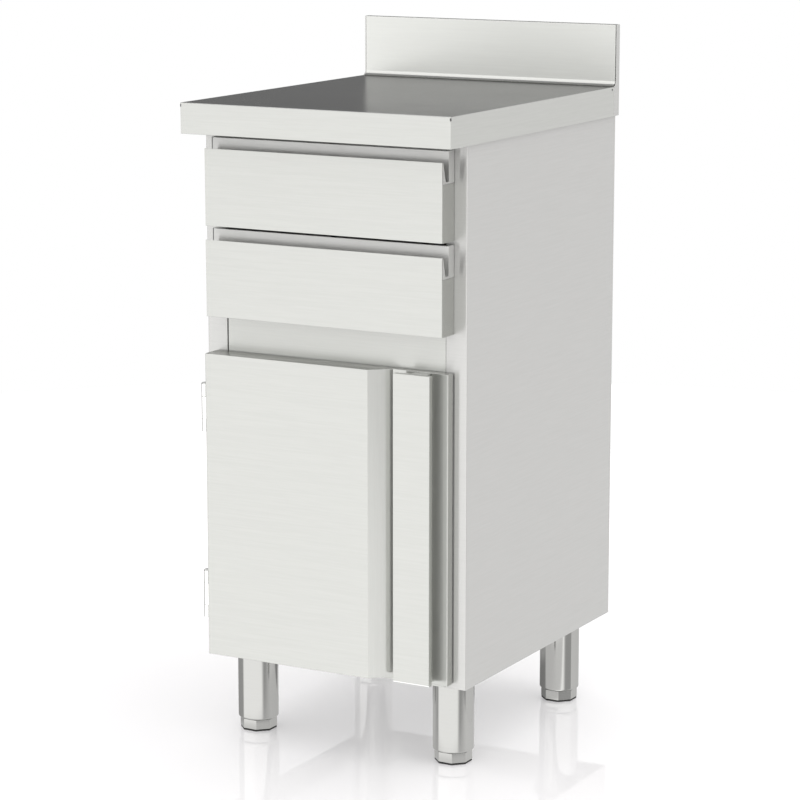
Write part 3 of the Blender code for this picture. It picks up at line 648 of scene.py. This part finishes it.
for level in ("upper", "lower"):
    body = level + "_drawer"
    z0 = DRAWER_BOTTOM[level]
    lip_z, seam_z, channel_z, pull_z = (z0 + DRAWER_FRONT_H, z0 + PULL_SEAM, z0 + PULL_FLOOR, z0 + PULL_TOP)

    bm = strip([(FRONT_Y, z0), (FRONT_Y, seam_z), (FRONT_Y, lip_z)], -DRAWER_X, DRAWER_X, "X")
    back = [e for e in bm.edges if all(v.co.z < (seam_z + 1) * MM for v in e.verts)
            and (near(e.verts[0].co.x, e.verts[1].co.x, 1e-5)
                 and abs(e.verts[0].co.z - e.verts[1].co.z) > 0.01
                 or all(near(v.co.z / MM, z0) for v in e.verts))]
    hem = pull(bm, back, (0, DRAWER_HEM, 0))
    ends = [e for e in bm.edges if all(v in hem for v in e.verts) and near(e.verts[0].co.x, e.verts[1].co.x, 1e-5)]
    pull(bm, ends, (0, REAR_Y - FRONT_Y - DRAWER_HEM, 0))
    round_folds(bm, lambda c: near(c.y, FRONT_Y) and c.z < seam_z + 1, radius=0.9, segments=4)
    piece("drawer_front_%s_fine" % level, orient(bm, (0, -1, 0)), ("front", "edge"), body, "drawer_front_" + level,
          sheet=SHEET, paint=end_shade_paint)

    face_y = FRONT_Y + SHEET + GAP
    base_z = seam_z + 0.4
    line = [(face_y, base_z), (face_y, lip_z - 0.1), (FRONT_Y + LIP_T, lip_z - 0.1),
            (CHANNEL_Y[0], channel_z), (CHANNEL_Y[1], channel_z), (CHANNEL_Y[1], pull_z),
            (REAR_Y - GAP, pull_z), (REAR_Y - GAP, base_z)]
    line = fillet(line, [0.3, 0.5, 1.0, 1.2, 1.2, 1.2, 1.2, 0.3], 4, closed=True)
    grip = prism(line, -DRAWER_X, DRAWER_X, "X")
    rim_edges = [e for e in grip.edges if abs(e.verts[0].co.x - e.verts[1].co.x) < 1e-5
                 and all(v.co.y > (CHANNEL_Y[1] - 0.1) * MM for v in e.verts)]
    bmesh.ops.bevel(grip, geom=rim_edges, offset=1.3 * MM, segments=4, profile=0.5, affect="EDGES",
                    clamp_overlap=True)
    end_cut = (-DRAWER_X + 1.7) * MM           # a thin dark plastic strip on the back plate's left end: painted shade of the gap beside the post
    bmesh.ops.bisect_plane(grip, geom=grip.verts[:] + grip.edges[:] + grip.faces[:], plane_co=(end_cut, 0, 0),
                           plane_no=(1, 0, 0), dist=1e-6)
    for v in grip.verts:
        if v.co.x < end_cut - 0.3 * MM and v.co.z > (channel_z + 0.6) * MM and near(v.co.y / MM, CHANNEL_Y[1], 0.3):
            v.co.y += 0.12 * MM
    grip_mesh = bpy.data.meshes.new("grip")
    grip.to_mesh(grip_mesh)
    grip.free()
    grip_obj = bpy.data.objects.new("grip", grip_mesh)
    hollow_mesh = bpy.data.meshes.new("hollow")
    hollow = block((-DRAWER_X + SHEET, DRAWER_X - SHEET), (CHANNEL_Y[1] + SHEET, REAR_Y - GAP - SHEET),
                   (seam_z - 10.0, pull_z - SHEET))
    hollow.to_mesh(hollow_mesh)
    hollow.free()
    hollow_obj = bpy.data.objects.new("hollow", hollow_mesh)
    for o in (grip_obj, hollow_obj):
        bpy.context.scene.collection.objects.link(o)
    cut = grip_obj.modifiers.new("hollow", "BOOLEAN")
    cut.operation = "DIFFERENCE"
    cut.object = hollow_obj
    done = bpy.data.meshes.new_from_object(grip_obj.evaluated_get(bpy.context.evaluated_depsgraph_get()))
    bm = bmesh.new()
    bm.from_mesh(done)
    for o in (grip_obj, hollow_obj):
        bpy.data.objects.remove(o, do_unlink=True)
    for m in (grip_mesh, hollow_mesh, done):
        bpy.data.meshes.remove(m)
    # the strip at the plate's left end takes the dark plastic: painted shade
    piece("drawer_pull_%s_fine" % level, bm, ("side", "plastic"), body, "drawer_pull_" + level, edge=0.2,
          paint=lambda c, n: 1 if c.x < -DRAWER_X + 1.8 and n.y < -0.3 and c.y > CHANNEL_Y[1] - 0.3 else 0)

    low, high = TRAY_Z[level]
    bm = drop_face(block((-TRAY_X, TRAY_X), (REAR_Y + GAP, TRAY_REAR), (low, high)), (0, 0, 1))
    piece("drawer_tray_%s_fine" % level, round_folds(bm, radius=2.6, segments=4), ("inner_up", "inner"), body,
          "drawer_tray_" + level, sheet=SHEET, paint=lambda c, n: 1 if abs(n.z) > 0.7 else 0)

    zc, half = SLIDE_Z[level], SLIDE_H / 2
    for side, sign in (("left", -1), ("right", 1)):
        web = BAY_X - SHEET - GAP
        line = [(TRAY_X + 0.9, zc + half), (web, zc + half), (web, zc - half), (TRAY_X + 0.9, zc - half)]
        piece("slide_outer_%s_%s_fine" % (level, side),
              folded([(sign * u, v) for u, v in line], BODY_FRONT + 6.5, BODY_FRONT + 6.5 + SLIDE_LEN, "Y",
                     side=-sign, radius=2.0), "zinc", "cabinet", "slide_outer_%s_%s" % (level, side))
        run = half - SHEET - GAP
        line = [(web - 2.0, zc + run), (TRAY_X + GAP, zc + run), (TRAY_X + GAP, zc - run), (web - 2.0, zc - run)]
        piece("slide_inner_%s_%s_fine" % (level, side),
              folded([(sign * u, v) for u, v in line], BODY_FRONT + 4.5, BODY_FRONT + SLIDE_LEN, "Y",
                     side=sign, radius=2.0), "zinc", body, "slide_inner_%s_%s" % (level, side))
        bm = bmesh.new()
        for y in (-205.0, -120.0, -10.0, 110.0, 200.0):
            screw_head(bm, (sign * (TRAY_X + GAP + SHEET), y, zc), (sign, 0, 0), r=3.8, h=1.9)
        piece("slide_screws_%s_%s" % (level, side), bm, "hinge", body, edge=None)

BAR_Y, BAR_Z, BAR_R = -70.0, 928.0, 8.0
bar_half = TRAY_X - SHEET - GAP
bar_line = [(0, bar_half), (BAR_R - 0.8, bar_half), (BAR_R, bar_half - 0.8), (BAR_R, -bar_half + 0.8),
            (BAR_R - 0.8, -bar_half), (0, -bar_half)]
piece("knock_bar_fine", lathe(bar_line, 0, BAR_Y, BAR_Z, 40, "X"), "hinge", "upper_drawer", "knock_bar", edge=None)
sleeve = [(BAR_R + GAP, 149.0), (BAR_R + 1.2, 150.0), (15.4, 150.0), (16.5, 149.5), (17.0, 148.4)]
for i in range(1, 20):
    h = 148.4 - i * 14.84
    sleeve += [(17.0, h + 1.5), (16.2, h + 0.6), (16.2, h - 0.6), (17.0, h - 1.5)]
sleeve += [(17.0, -148.4), (16.5, -149.5), (15.4, -150.0), (BAR_R + 1.2, -150.0), (BAR_R + GAP, -149.0)]
piece("knock_bar_sleeve_fine", lathe(sleeve, 0, BAR_Y, BAR_Z, 40, "X", closed=True), "rubber", "upper_drawer",
      "knock_bar_sleeve", edge=None)

# ------------------------------------------------------------------ door
bevel_end = (BEVEL_X + (RECESS_Y - FRONT_Y) / BEVEL_SLOPE, RECESS_Y)
trough = (HANDLE_WEB[1], RECESS_Y)
mid = (trough[0] + (DOOR_X[1] - trough[0]) * 0.4, RECESS_Y + (RIM_Y - RECESS_Y) * 0.3)
rim = []
for i in range(13):
    t = i / 12
    rim.append(tuple((1 - t) ** 2 * trough[k] + 2 * t * (1 - t) * mid[k] + t * t * (DOOR_X[1], RIM_Y)[k]
                     for k in (0, 1)))
door_line = [(DOOR_X[0], DOOR_REAR), (DOOR_X[0], FRONT_Y), (BEVEL_X, FRONT_Y), bevel_end] + rim
door_line += [(DOOR_X[1], DOOR_REAR)]
radii = [0.0, 1.6, 1.6, 1.6] + [0.0] * (len(rim) - 1) + [1.0, 0.0]
door_line = fillet(door_line, radii, 4)
bm = drop_face(prism(door_line, DOOR_Z[0], DOOR_Z[1], "Z"), (0, 1, 0))
rim_edges = [e for e in bm.edges if len(e.link_faces) == 2
             and any(abs(f.normal.z) > 0.9 for f in e.link_faces) and e.calc_face_angle(0.0) > 1.2]
bmesh.ops.bevel(bm, geom=rim_edges, offset=0.9 * MM, segments=3, profile=0.5, affect="EDGES", clamp_overlap=True)


# painted shade: the door's right flange and top face take the shaded edge steel, and the recess right of the handle web
# takes the darker groove steel; the bevel left of the web keeps the vertically brushed bevel steel
def door_paint(c, n):
    if n.x > 0.8 or n.z > 0.8:
        return 3
    if not (BEVEL_X - 0.2 < c.x < DOOR_X[1] - 1.0 and n.y < -0.2 and c.y > FRONT_Y + 0.3):
        return 0
    return 1 if c.x < HANDLE_WEB[0] else 2


piece("door_shell_fine", bm, ("front", "bevel", "groove", "edge"), "door", "door_shell", sheet=SHEET, paint=door_paint)

inset = SHEET + 0.4
flat("door_liner", (DOOR_X[0] + inset, DOOR_X[1] - inset), (DOOR_REAR - 0.8 - SHEET, DOOR_REAR - 0.8),
     (DOOR_Z[0] + inset, DOOR_Z[1] - inset), "inner_up", "door", "door_liner")

strip_y = FRONT_Y + HANDLE_T
tee = [(HANDLE_X[0], FRONT_Y), (HANDLE_X[1], FRONT_Y), (HANDLE_X[1], strip_y), (HANDLE_WEB[1], strip_y),
       (HANDLE_WEB[1], RECESS_Y - 0.5), (HANDLE_WEB[0], RECESS_Y - 0.5), (HANDLE_WEB[0], strip_y),
       (HANDLE_X[0], strip_y)]
tee = fillet(tee, [1.1, 1.1, 1.0, 1.6, 0.6, 0.6, 1.6, 1.0], 4, closed=True)
bm = prism(tee, HANDLE_Z[0], HANDLE_Z[1], "Z")
# the strip's lower edge leans back
bmesh.ops.bisect_plane(bm, geom=list(bm.verts) + list(bm.edges) + list(bm.faces), dist=1e-7,
                       plane_co=(0.0, 0.0, (HANDLE_Z[0] + 2.2) * MM), plane_no=(0.0, 0.0, 1.0))
for v in bm.verts:
    if v.co.z < (HANDLE_Z[0] + 1.0) * MM and v.co.y < (FRONT_Y + 1.2) * MM:
        v.co.y += 1.75 * MM
bm.normal_update()
cap_edges = [e for e in bm.edges if len(e.link_faces) == 2
             and any(f.normal.z > 0.9 for f in e.link_faces) and e.calc_face_angle(0.0) > 1.2]
bmesh.ops.bevel(bm, geom=cap_edges, offset=0.8 * MM, segments=3, profile=0.5, affect="EDGES", clamp_overlap=True)
# painted highlight: the leaning lower chamfer takes the bright hinge steel; sideways faces take the shaded edge steel
piece("door_handle_fine", bm, ("front", "edge", "hinge"), "door", "door_handle",
      paint=lambda c, n: 2 if n.z < -0.3 and n.y < -0.3 else end_shade_paint(c, n))

bm = round_folds(block((143.0, 177.0), (DOOR_REAR - 0.5, DOOR_REAR + 1.25), (618.5, 629.2)), radius=0.4, segments=2)
piece("catch_strike_fine", bm, "hinge", "door", "catch_strike", edge=None)
bm = bmesh.new()
for z in (190.0, 395.0, 600.0):
    screw_head(bm, (166.0, DOOR_REAR - 0.8, z), (0, 1, 0), r=3.6, h=0.75)
piece("handle_screws", bm, "hinge", "door", edge=None)

# ------------------------------------------------------------------ hinges
LEAF = 1.5
for level in ("upper", "lower"):
    zc = HINGE_Z[level]
    cuts = (zc - HINGE_HALF, zc - KNUCKLE_HALF - GAP, zc + KNUCKLE_HALF + GAP, zc + HINGE_HALF)
    left_x = HINGE_X - HINGE_R
    web_stop = HINGE_Y + 8.5
    plan = fillet([(-219.6, BODY_FRONT - GAP), (left_x, BODY_FRONT - GAP), (left_x, web_stop)], [0, 1.8, 0], 4)
    turn_from = len(plan)
    plan += arc(HINGE_X, HINGE_Y, HINGE_R, 180, 470, 28)
    bm = strip(plan, cuts[0], cuts[1], "Z")
    for lo, hi in zip(cuts[1:], cuts[2:]):
        strip(plan, lo, hi, "Z", bm)
    bmesh.ops.remove_doubles(bm, verts=bm.verts, dist=0.00001)
    middle = [f for f in bm.faces if cuts[1] < f.calc_center_median().z / MM < cuts[2]
              and f.calc_center_median().y / MM < web_stop]
    bmesh.ops.delete(bm, geom=middle, context="FACES")
    piece("hinge_leaf_frame_%s_fine" % level, orient(bm, (-1, 0, 0)), "hinge", "cabinet",
          "hinge_leaf_frame_" + level, sheet=LEAF)

    plan = [(DOOR_X[0] - GAP, HINGE_Y + 18), (DOOR_X[0] - GAP, HINGE_Y - HINGE_R)]
    plan += arc(HINGE_X, HINGE_Y, HINGE_R, 270, -20, 28)
    bm = strip(plan, zc - KNUCKLE_HALF, zc + KNUCKLE_HALF, "Z")
    piece("hinge_leaf_door_%s_fine" % level, orient(bm, (1, 0, 0)), "hinge", "door", "hinge_leaf_door_" + level,
          sheet=LEAF)

    pin = [(0, HINGE_HALF + 2.0), (3.6, HINGE_HALF + 1.95), (4.9, HINGE_HALF + 1.6), (5.6, HINGE_HALF + 0.9),
           (5.6, HINGE_HALF + GAP), (PIN_R, HINGE_HALF + GAP), (PIN_R, -HINGE_HALF + 0.3),
           (PIN_R - 0.8, -HINGE_HALF - 0.5), (0, -HINGE_HALF - 0.5)]
    piece("hinge_pin_%s_fine" % level, lathe(pin, HINGE_X, HINGE_Y, zc, 32), "hinge", "cabinet", "hinge_pin_" + level,
          edge=None)

# ------------------------------------------------------------------ legs
leg_line = [(0, FLOOR_Z - SHEET - GAP), (41.2, FLOOR_Z - SHEET - GAP), (42, FLOOR_Z - SHEET - GAP - 0.8), (42, 160.9),
            (41.4, 160.3), (LEG_R + 1.6, 160.3), (LEG_R + 0.5, 159.8), (LEG_R, 158.7)]
leg_line += [(LEG_R - 3.2 + 3.2 * math.cos(math.radians(a)), LEG_Z + 3.2 - 3.2 * math.sin(math.radians(a)))
             for a in (0, 15, 30, 45, 60, 75, 90)]
leg_line += [(LEG_R - 3.7, LEG_Z + 1.2), (LEG_R - 1.9, LEG_Z + 3.6), (LEG_R - 1.2, LEG_Z + 6.0), (LEG_R - 1.2, 60.0),
             (9.0, 60.0), (9.0, 66.0), (LEG_R - 1.2, 66.0), (LEG_R - 1.2, 158.8), (0, 158.8)]
corner = 1.0 / math.cos(math.pi / 8)
foot_top = LEG_Z - GAP


def foot(x, y):
    """Octagonal screw foot with softened edges, a round neck and a threaded stem."""
    body = [(0, foot_top), ((FOOT_FLAT - 1.1) * corner, foot_top), (FOOT_FLAT * corner, foot_top - 1.1),
            (FOOT_FLAT * corner, SOLE_T + GAP + 1.4), ((FOOT_FLAT - 1.4) * corner, SOLE_T + GAP), (0, SOLE_T + GAP)]
    bm = lathe(body, 0, 0, steps=8, spin=math.pi / 8)
    upright = [e for e in bm.edges if len(e.link_faces) == 2 and 0.3 < e.calc_face_angle(0.0) < 1.2
               and abs(e.verts[0].co.z - e.verts[1].co.z) > 0.005]
    bmesh.ops.bevel(bm, geom=upright, offset=0.7 * MM, segments=3, profile=0.5, affect="EDGES", clamp_overlap=True)
    neck = [(0, 33.0), (26.4, 33.0), (27.4, 32.0), (27.4, foot_top + 0.02), (0, foot_top + 0.02)]
    lathe(neck, 0, 0, steps=48, bm=bm)
    stem = [(0, 104.0), (6.6, 104.0), (8.0, 102.6)]
    count = 27
    for i in range(count):
        h = 102.0 - i * 2.5
        stem += [(8.0, h), (7.0, h - 0.9), (7.0, h - 1.2), (8.0, h - 2.1)]
    stem += [(8.0, 33.02), (0, 33.02)]
    lathe(stem, 0, 0, steps=32, bm=bm)
    bmesh.ops.translate(bm, verts=bm.verts, vec=Vector((x, y, 0)) * MM)
    return bm


for row, y in (("front", LEG_FRONT), ("rear", LEG_REAR)):
    for side, x in (("left", -LEG_X), ("right", LEG_X)):
        where = row + "_" + side
        piece("leg_tube_%s_fine" % where, lathe(leg_line, x, y, steps=64), "leg", "cabinet", "leg_tube_" + where, edge=None)
        piece("leg_foot_%s_fine" % where, foot(x, y), "leg", "foot_" + where, "leg_foot_" + where, edge=None)
        sole = [(0, SOLE_T), ((FOOT_FLAT - 0.4) * corner, SOLE_T), ((FOOT_FLAT - 0.5) * corner, 0.5),
                ((FOOT_FLAT - 1.0) * corner, 0.0), (0, 0.0)]
        piece("foot_sole_%s_fine" % where, lathe(sole, x, y, steps=8, spin=math.pi / 8), "rubber", "foot_" + where,
              "foot_sole_" + where, edge=0.2)

# ------------------------------------------------------------------ floor
mat, nt, bsdf = tree("studio_floor")
coords = add(nt, "ShaderNodeTexCoord").outputs["Object"]
speck = noise(nt, coords, (3.0, 3.0, 3.0), detail=4.0)
nt.links.new(ramp(nt, speck, 0.3, 0.7, 0.02, 0.04), bsdf.inputs["Roughness"])
bsdf.inputs["Base Color"].default_value = (0.545, 0.537, 0.541, 1.0)
bsdf.inputs["Emission Color"].default_value = (1.0, 0.99, 1.0, 1.0)
# painted light: the floor glows, 0.285 within 0.6 m of the centre rising to 0.38 by 1.5 m, which lifts the shade under
# the cabinet
reach = add(nt, "ShaderNodeVectorMath", operation="LENGTH")
nt.links.new(coords, reach.inputs[0])
nt.links.new(ramp(nt, reach.outputs["Value"], 0.60, 1.50, 0.285, 0.38), bsdf.inputs["Emission Strength"])
nt.links.new(ramp(nt, reach.outputs["Value"], 0.42, 0.80, 0.5, 0.0), bsdf.inputs["Specular IOR Level"])
bsdf.inputs["IOR"].default_value = 1.45
mesh = bpy.data.meshes.new("studio_floor")
bm = bmesh.new()
bmesh.ops.create_circle(bm, cap_ends=True, segments=96, radius=3.0)
bm.to_mesh(mesh)
bm.free()
mesh.materials.append(mat)
ground = bpy.data.objects.new("studio_floor", mesh)
bpy.context.scene.collection.objects.link(ground)
ground.location.z = -0.0002
ground.visible_glossy = False

# the cabinet's own shade on the floor, as the rear legs mirror it
shade_mat = bpy.data.materials.new("studio_shade")
shade_mat.use_nodes = True
nt = shade_mat.node_tree
for node in list(nt.nodes):
    nt.nodes.remove(node)
split = add(nt, "ShaderNodeSeparateXYZ")
nt.links.new(add(nt, "ShaderNodeTexCoord").outputs["Object"], split.inputs[0])
x, y = split.outputs["X"], split.outputs["Y"]
right = math_node(nt, "ADD", x, math_node(nt, "MULTIPLY", y, 1.07))
back = math_node(nt, "SUBTRACT", y, math_node(nt, "MULTIPLY", x, 0.45))
behind = ramp(nt, back, 0.075, 0.115, 0.0, 1.0)
inside = ramp(nt, right, 0.34, 0.39, 1.0, 0.0)
inside = math_node(nt, "ADD", math_node(nt, "MULTIPLY", inside, ramp(nt, back, 0.075, 0.115, 1.0, 0.0)),
                   math_node(nt, "MULTIPLY", behind, math_node(
                       nt, "MULTIPLY", ramp(nt, x, -0.14, -0.04, 0.0, 1.0), ramp(nt, x, 0.14, 0.20, 1.0, 0.0))))
mask = math_node(nt, "MULTIPLY", inside, ramp(nt, x, -0.29, -0.20, 0.0, 1.0))
mask = math_node(nt, "MULTIPLY", mask, ramp(nt, y, -0.34, -0.14, 0.0, 1.0))
mask = math_node(nt, "MULTIPLY", mask, ramp(nt, y, 0.27, 0.38, 1.0, 0.0))
glow = add(nt, "ShaderNodeEmission")
depth = math_node(nt, "MULTIPLY", ramp(nt, x, 0.10, 0.25, 1.0, 1.15), ramp(nt, back, 0.075, 0.115, 1.0, 0.40))
nt.links.new(depth, glow.inputs["Strength"])
blend = add(nt, "ShaderNodeMixShader")
nt.links.new(mask, blend.inputs[0])
nt.links.new(add(nt, "ShaderNodeBsdfTransparent").outputs[0], blend.inputs[1])
nt.links.new(glow.outputs[0], blend.inputs[2])
nt.links.new(blend.outputs[0], add(nt, "ShaderNodeOutputMaterial").inputs["Surface"])
mesh = bpy.data.meshes.new("studio_shade")
bm = bmesh.new()
bmesh.ops.create_grid(bm, x_segments=1, y_segments=1, size=0.65)
bm.to_mesh(mesh)
bm.free()
mesh.materials.append(shade_mat)
patch = bpy.data.objects.new("studio_shade", mesh)
bpy.context.scene.collection.objects.link(patch)
patch.location.z = ground.location.z - 0.004
patch.visible_camera = False
patch.visible_diffuse = False
patch.visible_shadow = False

# ------------------------------------------------------------------ studio light
world = bpy.data.worlds.new("studio")
bpy.context.scene.world = world
world.use_nodes = True
world.cycles.sampling_method = "NONE"
nt = world.node_tree
for node in list(nt.nodes):
    nt.nodes.remove(node)
ray = add(nt, "ShaderNodeTexCoord").outputs["Generated"]
split = add(nt, "ShaderNodeSeparateXYZ")
nt.links.new(ray, split.inputs[0])
front = math_node(nt, "MULTIPLY", split.outputs["Y"], -1.0)
azim = math_node(nt, "MULTIPLY", math_node(nt, "ARCTAN2", split.outputs["X"], front), 180.0 / math.pi)
elev = math_node(nt, "MULTIPLY", math_node(nt, "ARCSINE", split.outputs["Z"]), 180.0 / math.pi)


def window(value, lo, hi, soft):
    """1 between two angles, falling to 0 over a soft edge."""
    up = ramp(nt, value, lo - soft, lo + soft, 0.0, 1.0)
    down = ramp(nt, value, hi - soft, hi + soft, 1.0, 0.0)
    return math_node(nt, "MULTIPLY", up, down)


def both(a, b):
    return math_node(nt, "MULTIPLY", a, b)


def mix(value, factor, target):
    """Move a brightness towards a target where the factor is 1."""
    keep = math_node(nt, "MULTIPLY", value, math_node(nt, "SUBTRACT", 1.0, factor))
    return math_node(nt, "ADD", keep, math_node(nt, "MULTIPLY", factor, target))


level = mix(ramp(nt, elev, -15.0, -5.0, 1.76, 1.60), ramp(nt, elev, 1.0, 14.0, 0.0, 1.0), 1.55)
level = mix(level, ramp(nt, elev, 30.0, 80.0, 0.0, 1.0), 1.05)
level = mix(level, both(window(azim, -62.0, 2.0, 6.0), window(elev, 9.0, 26.0, 4.0)), 1.95)
rear = ramp(nt, elev, -15.0, -5.0, 1.10, 1.01)
level = mix(level, window(azim, 102.0, 205.0, 4.0), rear)
level = mix(level, window(azim, -205.0, -155.0, 4.0), rear)
level = mix(level, window(azim, -155.0, -64.0, 4.0), 0.64)
lean = math_node(nt, "ADD", azim, ramp(nt, elev, -17.4, -8.0, 0.0, 6.5))
band = both(ramp(nt, lean, 47.0, 65.0, 0.0, 1.0), ramp(nt, azim, 97.0, 105.0, 1.0, 0.0))
level = mix(level, both(band, ramp(nt, elev, 3.0, 9.0, 1.0, 0.0)), 0.60)
level = mix(level, both(window(azim, -178.0, -122.0, 3.0), window(elev, 0.5, 13.5, 2.5)), 0.288)
level = mix(level, ramp(nt, elev, -84.0, -72.0, 1.0, 0.0), 2.6)

paths = add(nt, "ShaderNodeLightPath")
level = mix(level, paths.outputs["Is Diffuse Ray"], ramp(nt, elev, 0.0, 70.0, 0.95, 1.95))
level = mix(level, paths.outputs["Is Camera Ray"], 1.0)
light = add(nt, "ShaderNodeBackground")
light.inputs["Color"].default_value = (1.0, 1.0, 1.0, 1.0)
nt.links.new(level, light.inputs["Strength"])
out = add(nt, "ShaderNodeOutputWorld")
nt.links.new(light.outputs[0], out.inputs["Surface"])

scene = bpy.context.scene
scene.cycles.max_bounces = 16
scene.cycles.glossy_bounces = 14
scene.view_settings.view_transform = "Standard"
scene.view_settings.look = "None"
scene.view_settings.exposure = 0.0
scene.view_settings.gamma = 1.0

# ------------------------------------------------------------------ camera
lens = bpy.data.cameras.new("photo_camera")
lens.sensor_width = 36.0
lens.lens = 130.85
lens.clip_start, lens.clip_end = 0.1, 100.0
camera = bpy.data.objects.new("photo_camera", lens)
scene.collection.objects.link(camera)
camera.location = (2.2627, -4.1291, 1.4725)
camera.rotation_mode = "QUATERNION"
camera.rotation_quaternion = Vector((-0.4733, 0.8592, -0.1942)).to_track_quat("-Z", "Y")
scene.camera = camera
